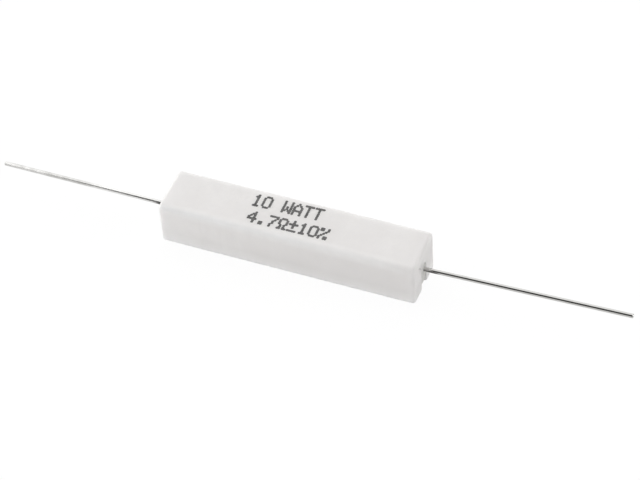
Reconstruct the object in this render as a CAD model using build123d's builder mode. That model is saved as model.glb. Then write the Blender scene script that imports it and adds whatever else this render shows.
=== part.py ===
from build123d import *
import os

# A 10 W wirewound resistor: a wound rod with pressed end caps and axial leads lies in a
# ceramic trough and is potted in cement. X runs along the leads, Z is up, the trough's open
# side is down, and the origin is the middle of the rim that the part stands on. Millimetres.

# ceramic case, a pressed trough with its mouth at Z = 0
case_length = 48.0
case_width = 10.0
case_height = 9.0
rim_land = 0.5  # flat strip along each long side that the part stands on
end_edge_radius = 0.6  # the edges round each end face
roof_wall = 1.35
end_wall = 1.9
cavity_corner = 1.6
cavity_roof_chamfer = 1.0
draft_angle = 1.2  # the hollow narrows upwards, as it leaves the press tool

# notch in each end wall that the lead drops into
notch_width = 2.2
notch_lip_radius = 0.5
notch_chamfer = 0.2

# wound rod
lead_height = 4.4  # rod, caps and leads share one line, this far above the rim
rod_diameter = 5.0
rod_chamfer = 0.2
wire_diameter = 0.2
wire_sides = 4  # the drawn wire's round section is given with flats
wire_pitch = 3.35
wire_end_margin = 0.7  # bare rod past each end of the winding

# end caps, drawn from thin tinned steel and crimped over the ends of the winding
cap_wall = 0.3
cap_length = 4.4
cap_corner = 0.3
cap_flare = 0.12
cap_space = 4.28  # cement between each cap and its end wall
side_space = 0.48  # cement between each cap and the side walls, at the mouth

# tinned copper leads, butt welded to the caps
lead_diameter = 0.8
right_reach = 37.2  # length past the end wall
left_reach = 33.0
right_kink = 2.2  # degrees that a lead rises where it leaves the case
left_kink = 0.66
left_lean = 38  # degrees that the plane of the left kink leans to the front
kink_radius = 4.0
weld_diameter = 1.5
weld_length = 0.5
tip_chamfer = 0.1

# cement
fill_recess = 0.45  # its surface lies this far inside the rim
fill_dish = 0.3  # and sinks this much further along the middle
notch_recess = 0.25  # it ends this far short of the end face in each notch

# clearances between neighbours
bond_gap = 0.02  # cement to case, caps, winding and leads
wrap_gap = 0.01  # wire to rod, and cap to wire
seat_gap = 0.02  # rod end to cap floor

# sizes that follow
end_face = case_length / 2
cavity_length = case_length - 2 * end_wall
cavity_depth = case_height - roof_wall
rod_length = cavity_length - 2 * (cap_space + cap_wall + seat_gap)
wire_orbit = rod_diameter / 2 + wrap_gap + wire_diameter / 2
winding_radius = wire_orbit + wire_diameter / 2
winding_length = rod_length - 2 * wire_end_margin
cap_bore_radius = winding_radius + wrap_gap
cap_radius = cap_bore_radius + cap_wall
cavity_width = 2 * (cap_radius + side_space)
side_wall = (case_width - cavity_width) / 2
long_edge_radius = side_wall - rim_land
cap_floor = rod_length / 2 + seat_gap
cap_face = cap_floor + cap_wall
cap_mouth = cap_face - cap_length
foot_end = cap_face + weld_length
lead_radius = lead_diameter / 2
axis_plane = Plane.XZ.shift_origin((0, 0, lead_height))
element_axis = Axis((0, 0, lead_height), (1, 0, 0))

os.makedirs("parts", exist_ok=True)


def draw_mouth(shrink):
    """The hollow's outline at the rim, smaller by shrink all round."""
    length = cavity_length - 2 * shrink
    width = cavity_width - 2 * shrink
    RectangleRounded(length, width, cavity_corner - shrink)


def draw_notch(shrink):
    """Upright U round the lead, with lips that flare out at the rim."""
    half = notch_width / 2 - shrink
    lip = half + notch_lip_radius
    with BuildLine() as outline:
        Line((-lip, 0), (lip, 0))
        RadiusArc((lip, 0), (half, notch_lip_radius), notch_lip_radius)
        Line((half, notch_lip_radius), (half, lead_height))
        RadiusArc((half, lead_height), (-half, lead_height), -half)
        Line((-half, lead_height), (-half, notch_lip_radius))
        RadiusArc((-half, notch_lip_radius), (-lip, 0), notch_lip_radius)
    make_face(outline.edges())


def draw_dish():
    """Everything below the cement's sunken surface."""
    half = case_width / 2
    with BuildLine() as outline:
        ThreePointArc((-half, fill_recess), (0, fill_recess + fill_dish), (half, fill_recess))
        Polyline((half, fill_recess), (half, -1), (-half, -1), (-half, fill_recess))
    make_face(outline.edges())


def draw_half_element(gap):
    """Half section of winding, cap, weld and lead for X > 0, grown by gap."""
    lead, foot = lead_radius + gap, weld_diameter / 2 + gap
    cap, winding = cap_radius + gap, winding_radius + gap
    face, neck, mouth = cap_face + gap, foot_end + gap, cap_mouth - gap
    with BuildLine() as outline:
        Polyline((0, 0), (case_length, 0), (case_length, lead), (neck, lead), (face, foot))
        Polyline((face, foot), (face, cap - cap_corner), (face - cap_corner, cap))
        Polyline((face - cap_corner, cap), (mouth, cap), (mouth, winding), (0, winding), (0, 0))
    make_face(outline.edges())


def draw_cap_wall():
    """Half section of the right cap: a cup with a broken corner and a flared mouth."""
    with BuildLine() as outline:
        Polyline(
            (cap_floor, 0),
            (cap_face, 0),
            (cap_face, cap_radius - cap_corner),
            (cap_face - cap_corner, cap_radius),
            (cap_mouth, cap_radius),
            (cap_mouth, cap_bore_radius + cap_flare),
            (cap_mouth + cap_flare, cap_bore_radius),
            (cap_floor, cap_bore_radius),
            (cap_floor, 0),
        )
    make_face(outline.edges())


def draw_foot():
    """Half section of the foot that spreads where the right lead meets its cap."""
    with BuildLine() as outline:
        Polyline(
            (cap_face, 0),
            (foot_end, 0),
            (foot_end, lead_radius),
            (cap_face, weld_diameter / 2),
            (cap_face, 0),
        )
    make_face(outline.edges())


def keep(piece, name):
    """Labels a finished piece and writes its file."""
    piece.label = name
    export_step(piece, f"parts/{name}.step")


with BuildPart() as ceramic_case:
    Box(case_length, case_width, case_height, align=(Align.CENTER, Align.CENTER, Align.MIN))
    fillet(ceramic_case.edges().filter_by(Axis.X), long_edge_radius)
    fillet(ceramic_case.faces().filter_by(Axis.X).edges(), end_edge_radius)
    with BuildSketch(Plane.XY):
        draw_mouth(0)
    extrude(amount=cavity_depth, taper=draft_angle, mode=Mode.SUBTRACT)
    ceiling = ceramic_case.faces().filter_by(Axis.Z).sort_by(Axis.Z)[-2]
    chamfer(ceiling.edges(), cavity_roof_chamfer)
    with BuildSketch(Plane.YZ):
        draw_notch(0)
    extrude(amount=case_length, both=True, mode=Mode.SUBTRACT)
    for side in (-1, 1):
        with BuildSketch(Plane.YZ.offset(side * end_face)):
            draw_notch(-notch_chamfer)
        extrude(amount=-side * notch_chamfer, taper=45, mode=Mode.SUBTRACT)
keep(ceramic_case.part, "ceramic_case")

with BuildPart() as cement_fill:
    with BuildSketch(Plane.XY):
        draw_mouth(bond_gap)
    extrude(amount=cavity_depth - bond_gap, taper=draft_angle)
    top = cement_fill.faces().sort_by(Axis.Z)[-1]
    chamfer(top.edges(), cavity_roof_chamfer)
    with BuildSketch(Plane.YZ):
        draw_notch(bond_gap)
    extrude(amount=end_face - notch_recess, both=True)
    with BuildSketch(Plane.YZ):
        draw_dish()
    extrude(amount=case_length, both=True, mode=Mode.SUBTRACT)
    with BuildSketch(axis_plane):
        draw_half_element(bond_gap)
        mirror(about=Plane.YZ)
    revolve(axis=element_axis, mode=Mode.SUBTRACT)
keep(cement_fill.part, "cement_fill")

with BuildPart() as core_rod:
    with BuildSketch(Plane.YZ.offset(-rod_length / 2)):
        with Locations((0, lead_height)):
            Circle(rod_diameter / 2)
    extrude(amount=rod_length)
    chamfer(core_rod.edges().filter_by(GeomType.CIRCLE), rod_chamfer)
keep(core_rod.part, "core_rod")

with BuildPart() as resistance_wire:
    with BuildLine() as winding:
        Helix(
            wire_pitch,
            winding_length,
            wire_orbit,
            center=(-winding_length / 2, 0, lead_height),
            direction=(1, 0, 0),
        )
    with BuildSketch(winding.line ^ 0):
        RegularPolygon(wire_diameter / 2, wire_sides)
    sweep(path=winding.line, is_frenet=True)
keep(resistance_wire.part, "resistance_wire")

with BuildPart() as end_cap:
    with BuildSketch(axis_plane):
        draw_cap_wall()
    revolve(axis=element_axis)
keep(end_cap.part, "end_cap_right")
keep(end_cap.part.mirror(Plane.YZ), "end_cap_left")

for name, reach, kink in (("right", right_reach, right_kink), ("left", left_reach, left_kink)):
    with BuildPart() as lead:
        with BuildLine(axis_plane) as route:
            inner = Line((foot_end, 0), (end_face, 0))
            bend = JernArc(inner @ 1, inner % 1, kink_radius, kink)
            Line(bend @ 1, bend @ 1 + (bend % 1) * reach)
        with BuildSketch(route.line ^ 0):
            Circle(lead_radius)
        sweep(path=route.line)
        tip = lead.faces().sort_by(Axis.X)[-1]
        chamfer(tip.edges(), tip_chamfer)
        with BuildSketch(axis_plane):
            draw_foot()
        revolve(axis=element_axis)
    if name == "left":
        keep(lead.part.mirror(Plane.YZ).rotate(element_axis, left_lean), "lead_left")
    else:
        keep(lead.part, "lead_right")
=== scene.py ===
import math
import random

import bmesh
import bpy
from mathutils import Matrix, Vector, noise


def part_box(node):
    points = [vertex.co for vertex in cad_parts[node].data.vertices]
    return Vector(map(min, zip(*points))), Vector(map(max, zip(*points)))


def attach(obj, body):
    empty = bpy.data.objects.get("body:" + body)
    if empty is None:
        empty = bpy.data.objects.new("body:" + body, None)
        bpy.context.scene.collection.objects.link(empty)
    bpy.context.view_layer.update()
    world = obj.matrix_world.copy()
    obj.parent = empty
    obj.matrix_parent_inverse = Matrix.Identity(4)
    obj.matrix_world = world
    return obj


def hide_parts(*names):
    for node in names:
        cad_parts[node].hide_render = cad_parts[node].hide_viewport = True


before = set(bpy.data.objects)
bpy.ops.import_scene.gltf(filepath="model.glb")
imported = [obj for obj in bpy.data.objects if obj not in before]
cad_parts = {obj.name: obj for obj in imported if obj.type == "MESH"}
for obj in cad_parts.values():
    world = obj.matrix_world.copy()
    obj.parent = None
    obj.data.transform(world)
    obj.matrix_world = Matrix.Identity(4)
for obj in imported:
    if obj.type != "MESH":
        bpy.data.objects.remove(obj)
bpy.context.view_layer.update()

mm = 0.001  # pieces are shaped in millimetres and brought to metres when they are settled
print("frame loaded, nodes:", ", ".join(sorted(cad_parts)))


# small helpers for working on one piece at a time

def boxOf(node):
    low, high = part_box(node)
    return low / mm, high / mm


def clearSelection():
    if bpy.context.object and bpy.context.object.mode != "OBJECT":
        bpy.ops.object.mode_set(mode="OBJECT")
    bpy.ops.object.select_all(action="DESELECT")


def workOn(piece):
    clearSelection()
    piece.select_set(True)
    bpy.context.view_layer.objects.active = piece


def startPiece(name):
    # the primitive that was just added becomes a piece with its place in its mesh
    piece = bpy.context.object
    piece.name = piece.data.name = name
    bpy.ops.object.transform_apply(location=True, rotation=True, scale=True)
    return piece


def addBlock(name, low, high):
    clearSelection()
    low, high = Vector(low), Vector(high)
    bpy.ops.mesh.primitive_cube_add(size=1, location=(low + high) / 2)
    bpy.context.object.dimensions = high - low
    return startPiece(name)


def addRoundBar(name, radius, xStart, xEnd, height, sides=48):
    clearSelection()
    bpy.ops.mesh.primitive_cylinder_add(
        vertices=sides, radius=radius, depth=xEnd - xStart,
        location=((xStart + xEnd) / 2, 0, height), rotation=(0, math.pi / 2, 0))
    return startPiece(name)


def addPebble(name, radius, place, squash=(1, 1, 1), turn=0, facets=3):
    # turn is in degrees round the X axis
    clearSelection()
    bpy.ops.mesh.primitive_ico_sphere_add(subdivisions=facets, radius=radius, location=place,
                                          rotation=(math.radians(turn), 0, 0))
    bpy.context.object.scale = squash
    return startPiece(name)


def openPiece(piece, kind):
    # into edit mode with nothing selected
    workOn(piece)
    bpy.ops.object.mode_set(mode="EDIT")
    bpy.ops.mesh.select_mode(type=kind)
    bpy.ops.mesh.select_all(action="DESELECT")


def pickEdges(piece, wanted):
    # leaves the piece in edit mode with only the wanted edges selected
    openPiece(piece, "EDGE")
    mesh = bmesh.from_edit_mesh(piece.data)
    for edge in mesh.edges:
        if wanted(edge.verts[0].co, edge.verts[1].co):
            edge.select_set(True)
    bmesh.update_edit_mesh(piece.data)


def pickFaces(piece, wanted):
    # the same for faces, by their middle and their normal
    openPiece(piece, "FACE")
    mesh = bmesh.from_edit_mesh(piece.data)
    for face in mesh.faces:
        if wanted(face.calc_center_median(), face.normal):
            face.select_set(True)
    bmesh.update_edit_mesh(piece.data)


def leaveEdit():
    bpy.ops.object.mode_set(mode="OBJECT")


def finishWith(piece, kind, **settings):
    workOn(piece)
    step = piece.modifiers.new(kind.lower(), kind)
    for key, value in settings.items():
        setattr(step, key, value)
    bpy.ops.object.modifier_apply(modifier=step.name)


def joinTo(piece, other):
    workOn(piece)
    other.select_set(True)
    bpy.ops.object.join()


def cutWith(piece, tool):
    finishWith(piece, "BOOLEAN", object=tool, operation="DIFFERENCE", solver="EXACT")
    bpy.data.objects.remove(tool)


def roughenSkin(piece, name, grain, depth, strength):
    # moves the skin inwards only, by up to the strength
    clouds = bpy.data.textures.new(name, "CLOUDS")
    clouds.noise_scale = grain
    clouds.noise_depth = depth
    finishWith(piece, "DISPLACE", texture=clouds, strength=strength, mid_level=1.0,
               texture_coords="LOCAL")


def dress(piece, material, smooth=True):
    if smooth:
        workOn(piece)
        bpy.ops.object.shade_smooth()
    piece.data.materials.clear()
    piece.data.materials.append(material)


def settle(piece, slotName, *nodes):
    # millimetres to metres, then the piece is handed to the frame
    workOn(piece)
    piece.scale = (mm, mm, mm)
    bpy.ops.object.transform_apply(location=True, rotation=True, scale=True)
    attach(piece, "root")
    if nodes:
        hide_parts(*nodes)
    print("  ", piece.name, len(piece.data.polygons), "faces")


# helpers for materials; all patterns lie in metres on the object's own axes

def newMaterial(name):
    material = bpy.data.materials.new(name)
    material.use_nodes = True
    tree = material.node_tree
    tree.nodes.clear()
    output = tree.nodes.new("ShaderNodeOutputMaterial")
    shader = tree.nodes.new("ShaderNodeBsdfPrincipled")
    tree.links.new(shader.outputs["BSDF"], output.inputs["Surface"])
    return material, tree, shader


def addNode(tree, kind, links=(), **values):
    # links are (input name, socket or value) pairs, values are settings of the node itself
    node = tree.nodes.new(kind)
    for key, value in values.items():
        setattr(node, key, value)
    for name, source in links:
        if isinstance(source, bpy.types.NodeSocket):
            tree.links.new(source, node.inputs[name])
        else:
            node.inputs[name].default_value = source
    return node


def objectPlace(tree, stretch=(1, 1, 1)):
    place = addNode(tree, "ShaderNodeTexCoord")
    mapping = addNode(tree, "ShaderNodeMapping",
                      [("Vector", place.outputs["Object"]), ("Scale", stretch)])
    return mapping.outputs["Vector"]


def axesOf(tree, place):
    return addNode(tree, "ShaderNodeSeparateXYZ", [("Vector", place)]).outputs


def cloudy(tree, scale, detail=3, roughness=0.5, stretch=(1, 1, 1)):
    # scale is about how many clouds lie along a metre
    return addNode(tree, "ShaderNodeTexNoise", [
        ("Vector", objectPlace(tree, stretch)), ("Scale", scale), ("Detail", detail),
        ("Roughness", roughness),
    ]).outputs["Fac"]


def cellsOf(tree, scale):
    return addNode(tree, "ShaderNodeTexVoronoi",
                   [("Vector", objectPlace(tree)), ("Scale", scale), ("Randomness", 1)]).outputs


def between(tree, value, fromLow, fromHigh, toLow, toHigh):
    return addNode(tree, "ShaderNodeMapRange", [
        ("Value", value), ("From Min", fromLow), ("From Max", fromHigh),
        ("To Min", toLow), ("To Max", toHigh),
    ]).outputs["Result"]


def mathOf(tree, operation, first, second=0):
    return addNode(tree, "ShaderNodeMath", [(0, first), (1, second)],
                   operation=operation).outputs[0]


def product(tree, first, *others):
    for other in others:
        first = mathOf(tree, "MULTIPLY", first, other)
    return first


def blendColours(tree, amount, first, second):
    return addNode(tree, "ShaderNodeMix", [(0, amount), (6, first), (7, second)],
                   data_type="RGBA").outputs[2]


def bumpy(tree, height, distance, strength, normal):
    links = [("Height", height), ("Distance", distance), ("Strength", strength)]
    if normal:
        links.append(("Normal", normal))
    return addNode(tree, "ShaderNodeBump", links).outputs["Normal"]


def makeMaterial(name, look, extra=None):
    # a look starts from its base colour and lays the others over it, each by one of its
    # patterns; a span is where something starts and ends, and its amounts at those two
    material, tree, shader = newMaterial(name)
    patterns = {key: cloudy(tree, **settings) for key, settings in look["clouds"].items()}
    for key, scale in look.get("pebbles", {}).items():
        patterns[key] = cellsOf(tree, scale)["Distance"]
    colour = look["base"]
    for key, span, tone in look["layers"]:
        colour = blendColours(tree, between(tree, patterns[key], *span), colour, look[tone])
    for key, value in look.get("constants", {}).items():
        shader.inputs[key].default_value = value
    if "roughness" in look:
        key, span = look["roughness"]
        tree.links.new(between(tree, patterns[key], *span), shader.inputs["Roughness"])
    normal = None
    for key, depth, strength in look.get("relief", ()):
        normal = bumpy(tree, patterns[key], depth, strength, normal)
        tree.links.new(normal, shader.inputs["Normal"])
    if extra:
        colour = extra(tree, shader, patterns, colour)
    tree.links.new(colour, shader.inputs["Base Color"])
    return material


ceramicLook = {
    "base": (0.90, 0.880, 0.868, 1),
    "shade": (0.845, 0.826, 0.815, 1),
    "residue": (0.70, 0.685, 0.66, 1),  # cement dust in the grain
    "clouds": {
        "firing": {"scale": 70, "detail": 2},
        "patches": {"scale": 420, "detail": 4, "roughness": 0.6},
        "grain": {"scale": 3800, "detail": 5, "roughness": 0.65},
        "strokes": {"scale": 1300, "detail": 2, "stretch": (1, 1, 0.08)},  # the press tool's marks
    },
    "layers": (
        ("firing", (0.35, 0.65, 0, 1), "shade"),
        ("patches", (0.45, 0.75, 0, 0.55), "shade"),
        ("grain", (0.55, 0.8, 0, 0.35), "residue"),
        ("strokes", (0.5, 0.8, 0, 0.5), "shade"),
    ),
    "roughness": ("patches", (0.3, 0.7, 0.66, 0.86)),
    "relief": (("patches", 0.00006, 0.5), ("grain", 0.00003, 0.55)),
    "constants": {
        "Specular IOR Level": 0.35,
        "Subsurface Weight": 0.6,
        "Subsurface Radius": (1, 1, 1),
        "Subsurface Scale": 0.0007,  # light wanders about this far under the skin
    },
    # dark specks from the kiln, in a few of the cells
    "speck": (0.30, 0.28, 0.26, 1),
    "speckCells": 190,
    "speckSpan": (0.018, 0.034, 1, 0),
    "speckShare": 0.28,  # of the cells that hold one
    "speckStrength": 0.55,
    # painted highlight: paler along the outer edges, in patches
    "edgeHighlight": (0.955, 0.942, 0.934, 1),
    "edgeHighlightWidth": 0.0018,
    "edgeHighlightPatches": (0.3, 0.6, 1, 0.75),
    "edgeHighlightFades": (
        ("X", (0.018, 0.0225, 1, 0.25)),  # less at the right end
        ("Y", (0.0035, 0.0044, 1, 0.25)),  # and along the back
        ("X", (-0.0238, -0.023, 0.3, 1)),  # and on the left end face
    ),
    "leftEndHighlight": (-0.0235, -0.018, 0.35, 0),  # painted highlight: the skin paler all over towards the left end
    # painted highlight, most along the ridge towards the front, but for its right half
    "rim": (0.99, 0.977, 0.969, 1),
    "ridge": (0.0131, 0.0135, 0, 1),
    "ridgeFade": (-0.006, 0.006, 1, 0),
    "ridgePatches": (0.4, 0.6, 1, 0.5),
    "rimSpan": (0, 0.003, 0.9, 0),  # and a painted glow all round the rim that it stands on
    # painted shade beside the right notch
    "notchShade": (0.55, 0.54, 0.53, 1),
    "notchShadePlace": (0.024, -0.0013, 0.0062),
    "notchShadeSpan": (0.0003, 0.0016, 0.5, 0),
}


def nearEdges(tree, place, node, width):
    # 1 at the outer edges of a node's box, falling to 0 at the given distance from them
    low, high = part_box(node)
    axes = axesOf(tree, place)
    depths = []
    for index, name in enumerate("XYZ"):
        middle, half = (low[index] + high[index]) / 2, (high[index] - low[index]) / 2
        offset = mathOf(tree, "ABSOLUTE", mathOf(tree, "SUBTRACT", axes[name], middle))
        depths.append(mathOf(tree, "SUBTRACT", half, offset))
    # the second smallest depth is the distance along the surface to the nearest edge
    first = mathOf(tree, "MINIMUM", depths[0], depths[1])
    second = mathOf(tree, "MINIMUM", mathOf(tree, "MAXIMUM", depths[0], depths[1]), depths[2])
    return between(tree, mathOf(tree, "MAXIMUM", first, second), 0, width, 1, 0)


def specksAndPaintedLight(tree, shader, patterns, colour):
    # kiln specks, then painted highlights along the edges, the ridge and the rim, and painted shade
    # beside the right notch
    look = ceramicLook
    place = objectPlace(tree)
    axes = axesOf(tree, place)
    cells = cellsOf(tree, look["speckCells"])
    channels = addNode(tree, "ShaderNodeSeparateColor", [("Color", cells["Color"])]).outputs
    speck = product(tree, between(tree, cells["Distance"], *look["speckSpan"]),
                    mathOf(tree, "GREATER_THAN", channels["Red"], 1 - look["speckShare"]),
                    look["speckStrength"])
    colour = blendColours(tree, speck, colour, look["speck"])
    # painted highlight along the outer edges, and all over towards the left end
    edgeHighlight = product(tree, nearEdges(tree, place, "ceramic_case", look["edgeHighlightWidth"]),
                   between(tree, patterns["patches"], *look["edgeHighlightPatches"]))
    for name, span in look["edgeHighlightFades"]:
        edgeHighlight = product(tree, edgeHighlight, between(tree, axes[name], *span))
    edgeHighlight = mathOf(tree, "MAXIMUM", edgeHighlight, between(tree, axes["X"], *look["leftEndHighlight"]))
    colour = blendColours(tree, edgeHighlight, colour, look["edgeHighlight"])
    lean = mathOf(tree, "SUBTRACT", axes["Z"], axes["Y"])  # painted highlight, most on the ridge towards the front
    ridge = product(tree, between(tree, lean, *look["ridge"]),
                    between(tree, axes["X"], *look["ridgeFade"]),
                    between(tree, patterns["patches"], *look["ridgePatches"]))
    colour = blendColours(tree, ridge, colour, look["rim"])
    # painted glow round the rim that it stands on
    colour = blendColours(tree, between(tree, axes["Z"], *look["rimSpan"]), colour, look["rim"])
    # painted shade beside the right notch
    away = addNode(tree, "ShaderNodeVectorMath", [(0, place), (1, look["notchShadePlace"])],
                   operation="DISTANCE").outputs["Value"]
    return blendColours(tree, between(tree, away, *look["notchShadeSpan"]), colour, look["notchShade"])


cementLook = {
    "base": (0.78, 0.77, 0.75, 1),
    "sand": (0.66, 0.645, 0.62, 1),
    "grit": (0.83, 0.825, 0.81, 1),
    "clouds": {
        "patches": {"scale": 160},
        "grain": {"scale": 2600, "detail": 6, "roughness": 0.7},
    },
    "pebbles": {"grit": 1500},
    "layers": (
        ("patches", (0.35, 0.7, 0, 1), "sand"),
        ("grit", (0.1, 0.45, 0.7, 0), "grit"),
        ("grain", (0.5, 0.75, 0, 0.7), "sand"),
    ),
    "roughness": ("grain", (0.3, 0.7, 0.8, 0.95)),
    "relief": (("grit", 0.0001, 0.5), ("grain", 0.00008, 0.8)),
    "constants": {"Specular IOR Level": 0.25},
}

wireLook = {
    "base": (0.70, 0.695, 0.685, 1),
    "dull": (0.55, 0.545, 0.532, 1),
    "reflectionShade": (0.45, 0.445, 0.43, 1),
    "reflectionHighlight": (0.80, 0.795, 0.785, 1),
    "clouds": {
        "blotches": {"scale": 650, "detail": 4, "roughness": 0.6},
        "dieLines": {"scale": 5200, "stretch": (0.06, 1, 1)},  # they run along the wire
    },
    "layers": (
        ("blotches", (0.4, 0.68, 0, 1), "dull"),
        ("dieLines", (0.5, 0.8, 0, 0.5), "dull"),
    ),
    "roughness": ("blotches", (0.3, 0.7, 0.07, 0.15)),
    "relief": (("blotches", 0.00002, 0.08), ("dieLines", 0.00001, 0.25)),
    # where along X each tone comes in, and goes out again
    "stretches": (
        ("reflectionShade", (-0.02, 0.02, 0, 0.6)),  # painted shade: the right lead darker all along
        ("reflectionShade", (-0.052, -0.047, 0, 0.36), (-0.041, -0.037, 1, 0)),  # painted shade near the left lead's tip
        ("reflectionHighlight", (-0.041, -0.037, 0, 0.8), (-0.037, -0.024, 1, 0)),  # painted highlight: paler next to it
    ),
    # painted shade, a near-black band on the side of each lead, and crept cement on its upper side,
    # where it leaves the case; the spans are heights, or distances past the end wall
    "rootShade": (0.03, 0.029, 0.027, 1),
    "rootShadeAbove": (0.0043, 0.0044, 0, 1),
    "rootShadeStart": (0, 0.0011, 0.45, 1),
    "rootShadeEnd": (0.0032, 0.0022, 0, 1),
    "skin": (0.62, 0.61, 0.59, 1),
    "skinEnd": (0.0011, 0.00077, 0, 1),
    "seam": (0.00455, 0.0047),  # the height where the painted shade and the skin meet
}


def coatWire(tree, shader, patterns, colour):
    look = wireLook
    axes = axesOf(tree, objectPlace(tree))
    # painted darker and paler stretches along the leads, standing in for their reflections
    for tone, *spans in look["stretches"]:
        amount = product(tree, *(between(tree, axes["X"], *span) for span in spans))
        colour = blendColours(tree, amount, colour, look[tone])
    outside = mathOf(tree, "SUBTRACT", mathOf(tree, "ABSOLUTE", axes["X"]),
                     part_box("ceramic_case")[1].x)
    # painted shade, darkening each lead's reflection near its root
    rootShade = product(tree, between(tree, axes["Z"], *look["seam"], 1, 0),
                   between(tree, axes["Z"], *look["rootShadeAbove"]),
                   between(tree, outside, *look["rootShadeStart"]),
                   between(tree, outside, *look["rootShadeEnd"]))
    colour = blendColours(tree, rootShade, colour, look["rootShade"])
    skin = product(tree, between(tree, axes["Z"], *look["seam"], 0, 1),
                   between(tree, outside, *look["skinEnd"]))
    # the skin is cement, so it is matt and no metal
    wireRoughness = shader.inputs["Roughness"].links[0].from_socket
    tree.links.new(mathOf(tree, "MAXIMUM", skin, wireRoughness), shader.inputs["Roughness"])
    tree.links.new(mathOf(tree, "SUBTRACT", 1, skin), shader.inputs["Metallic"])
    return blendColours(tree, skin, colour, look["skin"])


inkLook = {
    "base": (0.075, 0.075, 0.074, 1),
    "thin": (0.16, 0.158, 0.154, 1),
    "bare": (0.34, 0.335, 0.33, 1),  # ceramic grain showing through
    "clouds": {
        "patches": {"scale": 1500},
        "grain": {"scale": 6000, "detail": 4, "roughness": 0.7},
    },
    "layers": (
        ("patches", (0.35, 0.7, 0, 1), "thin"),
        ("grain", (0.58, 0.8, 0, 0.45), "bare"),
    ),
    "roughness": ("grain", (0.3, 0.7, 0.5, 0.75)),
    "relief": (("grain", 0.00002, 0.4),),
}

rodLook = {
    "base": (0.83, 0.81, 0.76, 1),
    "shade": (0.76, 0.735, 0.68, 1),
    "clouds": {"patches": {"scale": 500, "detail": 4}, "grain": {"scale": 4200, "detail": 4}},
    "layers": (("patches", (0.35, 0.7, 0, 1), "shade"),),
    "roughness": ("grain", (0.3, 0.7, 0.55, 0.75)),
    "relief": (("grain", 0.00003, 0.5),),
}

alloyLook = {
    "base": (0.47, 0.44, 0.40, 1),
    "dull": (0.35, 0.33, 0.31, 1),
    "clouds": {"blotches": {"scale": 600}, "lines": {"scale": 4000}},
    "layers": (("blotches", (0.35, 0.7, 0, 1), "dull"),),
    "roughness": ("lines", (0.3, 0.7, 0.3, 0.5)),
    "relief": (("lines", 0.00001, 0.4),),
    "constants": {"Metallic": 1},
}

capLook = {
    "base": (0.62, 0.62, 0.61, 1),
    "dull": (0.50, 0.50, 0.50, 1),
    "clouds": {
        "blotches": {"scale": 600},
        "lines": {"scale": 4000, "stretch": (1, 0.1, 0.1)},  # drawn round the cap
    },
    "layers": (("blotches", (0.35, 0.7, 0, 1), "dull"),),
    "roughness": ("lines", (0.3, 0.7, 0.25, 0.45)),
    "relief": (("lines", 0.00001, 0.4),),
    "constants": {"Metallic": 1},
}

ceramic = makeMaterial("pressedCeramic", ceramicLook, specksAndPaintedLight)
cement = makeMaterial("pottingCement", cementLook)
tinned = makeMaterial("tinnedWire", wireLook, coatWire)
ink = makeMaterial("markingInk", inkLook)
rodCeramic = makeMaterial("rodCeramic", rodLook)
alloy = makeMaterial("resistanceAlloy", alloyLook)
capSteel = makeMaterial("capSteel", capLook)
print("materials made")

for node, material in (("core_rod", rodCeramic), ("resistance_wire", alloy),
                       ("end_cap_left", capSteel), ("end_cap_right", capSteel)):
    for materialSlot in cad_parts[node].material_slots:
        materialSlot.material = material


# ceramic case: a pressed block, hollowed from below and notched at both ends

caseShape = {
    "longEdgeRadius": 1.0,
    "endEdgeRadius": 0.6,
    "sideWall": 1.5,
    "endWall": 1.9,
    "roofWall": 1.35,
    "cornerRadius": 1.6,
    "draft": 1.2,  # degrees
    "notchWidth": 2.2,
    "notchLip": 0.5,
    "leadHeight": 4.4,
    "grid": 0.2,  # the pressed skin is remeshed this fine
    "unevenness": 0.045,
    "chips": 9,
    "chipAlong": (-22, 22),
    "chipUp": (1.5, 7.5),  # those on the ends
    "chipRadius": (0.35, 0.6),
    "chipDepth": 0.32,
    # hairline flaws that run from the right notch, one towards the front and one up:
    # place on the end face, half sizes and turn
    "flaws": (
        ((0.02, -1.7, 6.2), (0.25, 1.75, 0.2), -43),
        ((0.02, 0.95, 5.4), (0.4, 0.09, 0.7), 0),
    ),
}


def addTaperedBlock(name, halfX, halfY, bottom, top, corner):
    # narrower upwards, as the hollow leaves the press tool
    block = addBlock(name, (-halfX, -halfY, bottom), (halfX, halfY, top))
    pickEdges(block, lambda a, b: abs(a.z - b.z) > 1)
    bpy.ops.mesh.bevel(offset=corner, segments=6, affect="EDGES")
    leaveEdit()
    pickFaces(block, lambda middle, normal: normal.z > 0.9)
    pull = (top - bottom) * math.tan(math.radians(caseShape["draft"]))
    bpy.ops.transform.resize(value=(1 - pull / halfX, 1 - pull / halfY, 1),
                             center_override=(0, 0, top))
    leaveEdit()
    return block


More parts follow.
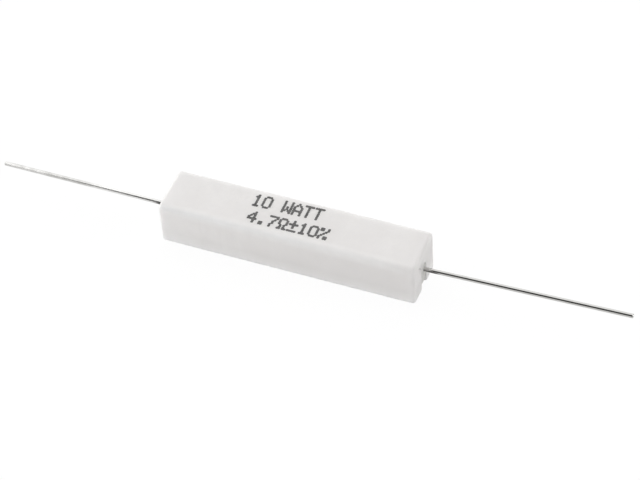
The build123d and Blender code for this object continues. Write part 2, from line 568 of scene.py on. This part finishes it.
def makeNotchBar(name, half, xHalf, bottom=0, lip=0):
    # an upright U along X, whose sides flare out to the bottom where it has a lip
    leadHeight = caseShape["leadHeight"]
    bar = addRoundBar(name, half, -xHalf, xHalf, leadHeight, 40)
    openPiece(bar, "FACE")
    bpy.ops.mesh.select_all(action="SELECT")
    bpy.ops.mesh.bisect(plane_co=(0, 0, leadHeight), plane_no=(0, 0, 1), clear_inner=True,
                        use_fill=True)
    leaveEdit()
    pickFaces(bar, lambda middle, normal: normal.z < -0.9 and abs(middle.z - leadHeight) < 0.01)

    def pullDown(start, end):
        bpy.ops.mesh.extrude_region_move(TRANSFORM_OT_translate={"value": (0, 0, end - start)})

    width, height = half, bottom + 2 * lip
    pullDown(leadHeight, height)
    steps = 4 if lip else 0
    for step in range(1, steps + 1):
        turn = math.radians(90 * step / steps)
        newWidth = half + lip * (1 - math.cos(turn))
        newHeight = bottom + lip - lip * math.sin(turn)
        pullDown(height, newHeight)
        bpy.ops.transform.resize(value=(1, newWidth / width, 1), center_override=(0, 0, newHeight))
        width, height = newWidth, newHeight
    pullDown(0, -1)
    bpy.ops.mesh.select_all(action="SELECT")
    bpy.ops.mesh.normals_make_consistent(inside=False)
    leaveEdit()
    return bar


def makeCaseShell():
    shape = caseShape
    low, high = boxOf("ceramic_case")
    endX = high.x
    shell = addBlock("caseShell", low, high)
    pickEdges(shell, lambda a, b: abs(a.x - b.x) > 1)
    bpy.ops.mesh.bevel(offset=shape["longEdgeRadius"], segments=8, affect="EDGES")
    leaveEdit()
    pickEdges(shell, lambda a, b: abs(a.x) > endX - 0.01 and abs(a.x - b.x) < 0.01)
    bpy.ops.mesh.bevel(offset=shape["endEdgeRadius"], segments=6, affect="EDGES",
                       clamp_overlap=False)
    leaveEdit()
    cutWith(shell, addTaperedBlock("hollowTool", endX - shape["endWall"],
                                   high.y - shape["sideWall"], -1, high.z - shape["roofWall"],
                                   shape["cornerRadius"]))
    cutWith(shell, makeNotchBar("notchTool", shape["notchWidth"] / 2, endX + 2,
                                lip=shape["notchLip"]))

    # small chips knocked off the outer edges, every third one off an end
    dice = random.Random(11)
    onEdge = 0.05
    for index in range(shape["chips"]):
        side = dice.choice((-1, 1))
        place = Vector((dice.uniform(*shape["chipAlong"]), side * high.y,
                        dice.choice((onEdge, high.z - onEdge))))
        if index % 3 == 0:
            place = Vector((dice.choice((-1, 1)) * endX, side * (high.y - onEdge),
                            dice.uniform(*shape["chipUp"])))
        radius = dice.uniform(*shape["chipRadius"])
        inward = (Vector((place.x * 0.9, 0, high.z / 2)) - place).normalized()
        place -= inward * (radius - shape["chipDepth"])
        cutWith(shell, addPebble("chipTool", radius, place))

    # a pressed and fired body is never quite flat
    finishWith(shell, "REMESH", mode="VOXEL", voxel_size=shape["grid"], adaptivity=0)
    finishWith(shell, "SMOOTH", factor=0.5, iterations=3)
    roughenSkin(shell, "firingWaves", 5.0, 1, shape["unevenness"])
    for (out, y, z), squash, turn in shape["flaws"]:
        cutWith(shell, addPebble("flawTool", 1, (endX + out, y, z), squash, turn))
    dress(shell, ceramic)
    return shell


caseShell = makeCaseShell()
print("case pressed")


# cement: fills the hollow and the notches round the wound rod

cementShape = {
    "gap": 0.02,
    "roofChamfer": 1.0,
    "recess": 0.45,
    "dish": 0.3,
    "creep": (0.2, 3.7),  # round the leads it almost fills the notches, from this height up
    "collar": (0.75, 0.4),  # how wide the cement creeps out round each lead, and how far
    "collarTip": 0.44,
    "windingRoom": 0.24,  # past the bare rod
    "leadRoom": 0.41,
    "grid": 0.22,
    "grit": 0.12,
    "bubbles": 34,
    "bubbleField": (21, 3.2),
    "bubbleRadius": (0.16, 0.42),
    # shrunk from the far side of the right notch, and cracked above the left lead:
    # end, distance past it, place across and up, half sizes
    "cracks": (
        (1, 0.1, 0.95, 4.5, (1.6, 0.1, 1.0)),
        (-1, 0.1, -0.4, 4.8, (0.9, 0.17, 0.7)),
    ),
}


def makeCementPour():
    shape = cementShape
    high = boxOf("cement_fill")[1]
    caseHigh = boxOf("ceramic_case")[1]
    leadHeight = caseShape["leadHeight"]
    gap = shape["gap"]
    pastEnds = 40
    pour = addTaperedBlock("cementPour", caseHigh.x - caseShape["endWall"] - gap,
                           caseHigh.y - caseShape["sideWall"] - gap, 0, high.z,
                           caseShape["cornerRadius"] - gap)
    pickFaces(pour, lambda middle, normal: normal.z > 0.9)
    bpy.ops.mesh.bevel(offset=shape["roofChamfer"], segments=1, affect="EDGES")
    leaveEdit()
    halfNotch = caseShape["notchWidth"] / 2 - gap
    creep, creepFrom = shape["creep"]
    joinTo(pour, makeNotchBar("notchPour", halfNotch, high.x))
    joinTo(pour, makeNotchBar("notchCreep", halfNotch, high.x + creep, creepFrom))
    wide, reach = shape["collar"]
    root = 0.3  # how deep a collar starts inside the cement
    for side in (-1, 1):
        clearSelection()
        bpy.ops.mesh.primitive_cone_add(
            vertices=32, radius1=wide, radius2=shape["collarTip"], depth=reach + root,
            location=(side * (high.x + (reach - root) / 2), 0, leadHeight),
            rotation=(0, side * math.pi / 2, 0))
        joinTo(pour, startPiece("cementCollar"))
    finishWith(pour, "REMESH", mode="VOXEL", voxel_size=shape["grid"], adaptivity=0)

    # the open face sinks a little along its middle
    half = caseHigh.y
    radius = (half ** 2 + shape["dish"] ** 2) / (2 * shape["dish"])
    sink = shape["recess"] + shape["dish"]
    cutWith(pour, addRoundBar("dishTool", radius, -pastEnds, pastEnds, sink - radius, 720))

    # room for the winding, the caps and the leads
    for node, room in (("core_rod", shape["windingRoom"]), ("end_cap_right", gap),
                       ("end_cap_left", gap)):
        partLow, partHigh = boxOf(node)
        radius = (partHigh.z - partLow.z) / 2 + room
        cutWith(pour, addRoundBar("roomTool", radius, partLow.x - gap, partHigh.x + gap,
                                  leadHeight))
    cutWith(pour, addRoundBar("wireTool", shape["leadRoom"], -pastEnds, pastEnds, leadHeight))

    # air bubbles that broke on the open face
    dice = random.Random(5)
    fieldX, fieldY = shape["bubbleField"]
    for index in range(shape["bubbles"]):
        x, y = dice.uniform(-fieldX, fieldX), dice.uniform(-fieldY, fieldY)
        size = dice.uniform(*shape["bubbleRadius"])
        depth = shape["recess"] + shape["dish"] * (1 - (y / half) ** 2)
        cutWith(pour, addPebble("bubbleTool", size, (x, y, depth - size * 0.3), facets=2))

    finishWith(pour, "REMESH", mode="VOXEL", voxel_size=shape["grid"], adaptivity=0)
    finishWith(pour, "SMOOTH", factor=0.4, iterations=1)
    roughenSkin(pour, "cementGrit", 0.9, 3, shape["grit"])
    for side, out, y, z, squash in shape["cracks"]:
        cutWith(pour, addPebble("crackTool", 1, (side * (high.x + out), y, z), squash))
    dress(pour, cement)
    return pour


cementPour = makeCementPour()
print("cement poured")


# leads: tinned copper wire, straight apart from a slight kink at each end wall

leadShape = {
    "radius": 0.4,
    "footRadius": 0.75,
    "footLength": 0.5,
    "kinkRadius": 4.0,
    "right": {"side": 1, "kink": 2.2, "lean": 0},  # degrees
    "left": {"side": -1, "kink": 0.66, "lean": 38},  # lean turns the kink to the front
    "kinkSteps": 3,
    "sides": 28,
    "stretches": 26,
    "tip": 0.1,
}


def makeLeadWire(name, node, side, kink, lean):
    shape = leadShape
    low, high = boxOf(node)
    endX = boxOf("ceramic_case")[1].x
    startX = boxOf("end_cap_right")[1].x
    reachX = high.x if side > 0 else -low.x
    height = caseShape["leadHeight"]
    clearSelection()
    bpy.ops.mesh.primitive_circle_add(
        vertices=shape["sides"], radius=shape["footRadius"], fill_type="NGON",
        location=(side * startX, 0, height), rotation=(0, math.pi / 2, 0))
    wire = startPiece(name)
    openPiece(wire, "FACE")
    bpy.ops.mesh.select_all(action="SELECT")
    place = Vector((startX, 0, height))
    angle = 0

    def stretch(length):
        nonlocal place
        across, up = length * math.cos(angle), length * math.sin(angle)
        bpy.ops.mesh.extrude_region_move(TRANSFORM_OT_translate={"value": (side * across, 0, up)})
        place = place + Vector((across, 0, up))

    def swell(factor):
        bpy.ops.transform.resize(value=(factor, factor, factor),
                                 center_override=(side * place.x, 0, place.z))

    # the foot that is welded to the cap
    stretch(shape["footLength"])
    swell(shape["radius"] / shape["footRadius"])
    stretch(endX - place.x)
    # the kink, in a few small turns
    turn = math.radians(kink) / shape["kinkSteps"]
    for index in range(shape["kinkSteps"]):
        angle += turn / 2
        stretch(2 * shape["kinkRadius"] * math.sin(turn / 2))
        angle += turn / 2
        bpy.ops.transform.rotate(value=turn * side, orient_axis="Y",
                                 center_override=(side * place.x, 0, place.z))
    # straight to the tip, where the cutter has broken the edge
    tilted = (shape["radius"] - shape["tip"]) * math.sin(angle)
    run = (reachX - tilted - place.x) / math.cos(angle) - shape["tip"]
    for index in range(shape["stretches"]):
        stretch(run / shape["stretches"])
    stretch(shape["tip"])
    swell(1 - shape["tip"] / shape["radius"])
    bpy.ops.mesh.select_all(action="SELECT")
    bpy.ops.transform.rotate(value=-math.radians(lean), orient_axis="X",
                             center_override=(0, 0, height))
    bpy.ops.mesh.remove_doubles(threshold=0.0005)
    bpy.ops.mesh.normals_make_consistent(inside=False)
    leaveEdit()
    workOn(wire)
    bpy.ops.object.shade_smooth_by_angle(angle=math.radians(35))
    dress(wire, tinned, smooth=False)
    return wire


leadWireRight = makeLeadWire("leadWireRight", "lead_right", **leadShape["right"])
leadWireLeft = makeLeadWire("leadWireLeft", "lead_left", **leadShape["left"])
print("leads drawn")


# marking: the rating, printed in dots on the closed face

glyphs = {
    "1": ("..#..", ".##..", "..#..", "..#..", "..#..", "..#..", ".###."),
    "0": (".###.", "#...#", "#...#", "#...#", "#...#", "#...#", ".###."),
    "W": ("#...#", "#...#", "#...#", "#.#.#", "#.#.#", "##.##", "#...#"),
    "A": ("..#..", ".#.#.", "#...#", "#...#", "#####", "#...#", "#...#"),
    "T": ("#####", "..#..", "..#..", "..#..", "..#..", "..#..", "..#.."),
    "4": ("...#.", "..##.", ".#.#.", "#..#.", "#####", "...#.", "...#."),
    ".": (".....", ".....", ".....", ".....", ".....", ".##..", ".##.."),
    "7": ("#####", "....#", "...#.", "..#..", "..#..", ".#...", ".#..."),
    "ohm": (".###.", "#...#", "#...#", "#...#", ".#.#.", ".#.#.", "##.##"),
    "plusMinus": ("..#..", "..#..", "#####", "..#..", "..#..", ".....", "#####"),
    "%": ("##..#", "##..#", "...#.", "..#..", ".#...", "#..##", "#..##"),
    " ": (".....",) * 7,
}

markingShape = {
    "lines": (
        {"signs": ("1", "0", " ", "W", "A", "T", "T"),
         "left": -8.4, "base": 0.75, "rowPitch": 0.42, "tilt": 1.2},
        {"signs": ("4", ".", "7", "ohm", "plusMinus", "1", "0", "%"),
         "left": -7.7, "base": -3.1, "rowPitch": 0.385, "tilt": 0.6},
    ),
    "cell": 1.9,
    "dotPitch": 0.33,
    "dotRadius": 0.278,
    "ragged": 0.045,  # how much a dot's edge wanders
    "ripple": 5.5,
    "margin": 0.5,
    "grid": 0.05,
    "lift": 0.004,
}


def dotsOf(line):
    turn = math.radians(line["tilt"])
    for index, sign in enumerate(line["signs"]):
        for row, marks in enumerate(glyphs[sign]):
            for column, mark in enumerate(marks):
                if mark == "#":
                    x = index * markingShape["cell"] + column * markingShape["dotPitch"]
                    y = (len(glyphs[sign]) - 1 - row) * line["rowPitch"]
                    yield Vector((line["left"] + x * math.cos(turn) - y * math.sin(turn),
                                  line["base"] + x * math.sin(turn) + y * math.cos(turn), 0))


def makeRatingMarking():
    shape = markingShape
    dots = [dot for line in shape["lines"] for dot in dotsOf(line)]
    margin = shape["margin"]
    low = Vector((min(dot.x for dot in dots) - margin, min(dot.y for dot in dots) - margin))
    high = Vector((max(dot.x for dot in dots) + margin, max(dot.y for dot in dots) + margin))
    across, along = (round((high[axis] - low[axis]) / shape["grid"]) for axis in (0, 1))
    clearSelection()
    top = boxOf("ceramic_case")[1].z
    bpy.ops.mesh.primitive_grid_add(
        x_subdivisions=across, y_subdivisions=along, size=1,
        location=((low.x + high.x) / 2, (low.y + high.y) / 2, top + 1))
    bpy.context.object.dimensions = (high.x - low.x, high.y - low.y, 0)
    marking = startPiece("ratingMarking")

    # a cell is kept where ink from any dot reaches it
    nearby = {}
    for dot in dots:
        for stepX in (-1, 0, 1):
            for stepY in (-1, 0, 1):
                key = (math.floor(dot.x) + stepX, math.floor(dot.y) + stepY)
                nearby.setdefault(key, []).append(dot)

    def inked(middle):
        reach = shape["dotRadius"] + shape["ragged"] * noise.noise(middle * shape["ripple"])
        close = nearby.get((math.floor(middle.x), math.floor(middle.y)), ())
        return any((middle.x - dot.x) ** 2 + (middle.y - dot.y) ** 2 < reach ** 2 for dot in close)

    pickFaces(marking, lambda middle, normal: not inked(middle))
    bpy.ops.mesh.delete(type="FACE")
    bpy.ops.mesh.select_all(action="SELECT")
    bpy.ops.mesh.vertices_smooth(factor=0.5, repeat=3)
    leaveEdit()
    finishWith(marking, "SHRINKWRAP", target=caseShell, wrap_method="PROJECT",
               wrap_mode="ABOVE_SURFACE", use_project_z=True, use_negative_direction=True,
               use_positive_direction=False, offset=shape["lift"])
    dress(marking, ink, smooth=False)
    return marking


ratingMarking = makeRatingMarking()
print("marking printed")

settle(caseShell, "ceramic", "ceramic_case")
settle(cementPour, "cement", "cement_fill")
settle(leadWireRight, "tinned_wire", "lead_right")
settle(leadWireLeft, "tinned_wire", "lead_left")
settle(ratingMarking, "marking_ink")
print("pieces settled")


# studio: a pale floor that rises gently at its edge, soft lamps and a dim room

studio = {
    "flat": 1.6,  # the floor's flat part, in metres
    "radius": 2.4,
    "rise": 0.22,
    "steps": 8,
    "glow": 0.92,  # how much of the floor shows as plain white
    "white": 1.02,
    # one wide half of the room is a white dome, the half towards the viewer stays dim
    "dome": {"towards": (-0.54, 0.655, 0.525), "span": (0.50, 0.66, 0.08, 1.38)},
    "softboxes": {
        "front": {"place": (-0.76, -0.97, 0.16), "aim": (0, 0, 0),
                  "size": (0.3, 0.25), "power": 3.2},
        "frontLeft": {"place": (-0.69, -0.48, 0.61), "aim": (-0.69, 0, 0),
                      "size": (0.65, 1.03), "power": 3.0},
        "above": {"place": (0.34, -0.45, 0.92), "aim": (0, 0, 0),
                  "size": (0.4, 0.4), "power": 1.1},
        "right": {"place": (0.97, 0.3, 0.42), "aim": (0, 0, 0),
                  "size": (0.6, 0.6), "power": 3.95},
    },
}

paperLook = {
    "base": (0.955, 0.955, 0.955, 1),
    "shade": (0.94, 0.94, 0.94, 1),
    "clouds": {"fibres": {"scale": 900}},
    "layers": (("fibres", (0.3, 0.7, 0, 1), "shade"),),
    "constants": {"Roughness": 0.9, "Specular IOR Level": 0.1},
}


def glowPaper(tree, shader, patterns, colour):
    # to the camera and in reflections the paper is mostly plain white
    path = addNode(tree, "ShaderNodeLightPath").outputs
    seen = mathOf(tree, "MAXIMUM", path["Is Camera Ray"],
                  mathOf(tree, "MAXIMUM", path["Is Glossy Ray"], path["Is Transmission Ray"]))
    glow = addNode(tree, "ShaderNodeEmission",
                   [("Color", (1, 1, 1, 1)), ("Strength", studio["white"])])
    lit = addNode(tree, "ShaderNodeMixShader", [
        (0, product(tree, seen, studio["glow"])),
        (1, shader.outputs["BSDF"]), (2, glow.outputs["Emission"])])
    tree.links.new(lit.outputs["Shader"], tree.nodes["Material Output"].inputs["Surface"])
    return colour


def makeFloor():
    clearSelection()
    flat, steps = studio["flat"], studio["steps"]
    bpy.ops.mesh.primitive_circle_add(vertices=96, radius=flat, fill_type="NGON")
    floor = startPiece("studioFloor")
    pickEdges(floor, lambda a, b: True)
    reach, height = flat, 0
    for step in range(1, steps + 1):
        turn = step / steps * math.pi / 2
        newReach = flat + (studio["radius"] - flat) * math.sin(turn)
        newHeight = studio["rise"] * (1 - math.cos(turn))
        bpy.ops.mesh.extrude_edges_move(
            TRANSFORM_OT_translate={"value": (0, 0, newHeight - height)})
        bpy.ops.transform.resize(value=(newReach / reach, newReach / reach, 1),
                                 center_override=(0, 0, newHeight))
        reach, height = newReach, newHeight
    bpy.ops.mesh.select_all(action="SELECT")
    bpy.ops.mesh.normals_make_consistent(inside=True)
    leaveEdit()
    dress(floor, makeMaterial("floorPaper", paperLook, glowPaper))


def aimAt(thing, place, target):
    thing.location = place
    thing.rotation_euler = (Vector(target) - Vector(place)).to_track_quat("-Z", "Y").to_euler()


def addSoftbox(name, settings):
    lamp = bpy.data.lights.new(name, "AREA")
    lamp.shape = "RECTANGLE"
    lamp.size, lamp.size_y = settings["size"]
    lamp.energy = settings["power"]
    holder = bpy.data.objects.new(name, lamp)
    bpy.context.scene.collection.objects.link(holder)
    aimAt(holder, settings["place"], settings["aim"])


def lightRoom():
    dome = studio["dome"]
    room = bpy.data.worlds.new("studioRoom")
    room.use_nodes = True
    tree = room.node_tree
    sky = tree.nodes["Background"]
    sky.inputs["Color"].default_value = (1, 1, 1, 1)
    direction = addNode(tree, "ShaderNodeTexCoord").outputs["Generated"]
    facing = addNode(tree, "ShaderNodeVectorMath", [(0, direction), (1, dome["towards"])],
                     operation="DOT_PRODUCT").outputs["Value"]
    tree.links.new(between(tree, facing, *dome["span"]), sky.inputs["Strength"])
    bpy.context.scene.world = room


makeFloor()
for softbox, settings in studio["softboxes"].items():
    addSoftbox(softbox + "Softbox", settings)
lightRoom()
bpy.context.scene.view_settings.view_transform = "Standard"
print("studio lit")


# camera

cameraShape = {
    "azimuth": 24.82,
    "elevation": 46.14,
    "roll": -4.29,
    "distance": 423.1,
    "lens": 135.73,
    "sensor": 36,
    "aside": 4.28,  # the aim lies this far to the right of the case's middle
    "above": -0.66,  # and this far above it
}


def placeCamera():
    view = cameraShape
    azimuth, elevation, roll = (math.radians(view[key]) for key in ("azimuth", "elevation", "roll"))
    back = Vector((math.sin(azimuth) * math.cos(elevation),
                   -math.cos(azimuth) * math.cos(elevation), math.sin(elevation)))
    right = Vector((math.cos(azimuth), math.sin(azimuth), 0))
    up = back.cross(right)
    rolledRight = math.cos(roll) * right + math.sin(roll) * up
    rolledUp = math.cos(roll) * up - math.sin(roll) * right
    low, high = boxOf("ceramic_case")
    aim = (low + high) / 2 + view["aside"] * rolledRight + view["above"] * rolledUp
    lens = bpy.data.cameras.new("studioCamera")
    lens.lens, lens.sensor_width = view["lens"], view["sensor"]
    lens.clip_start, lens.clip_end = 0.01, 10
    camera = bpy.data.objects.new("studioCamera", lens)
    bpy.context.scene.collection.objects.link(camera)
    turn = Matrix((rolledRight, rolledUp, back)).transposed().to_4x4()
    camera.matrix_world = Matrix.Translation((aim + back * view["distance"]) * mm) @ turn
    bpy.context.scene.camera = camera


placeCamera()
bpy.context.view_layer.update()
print("camera placed")
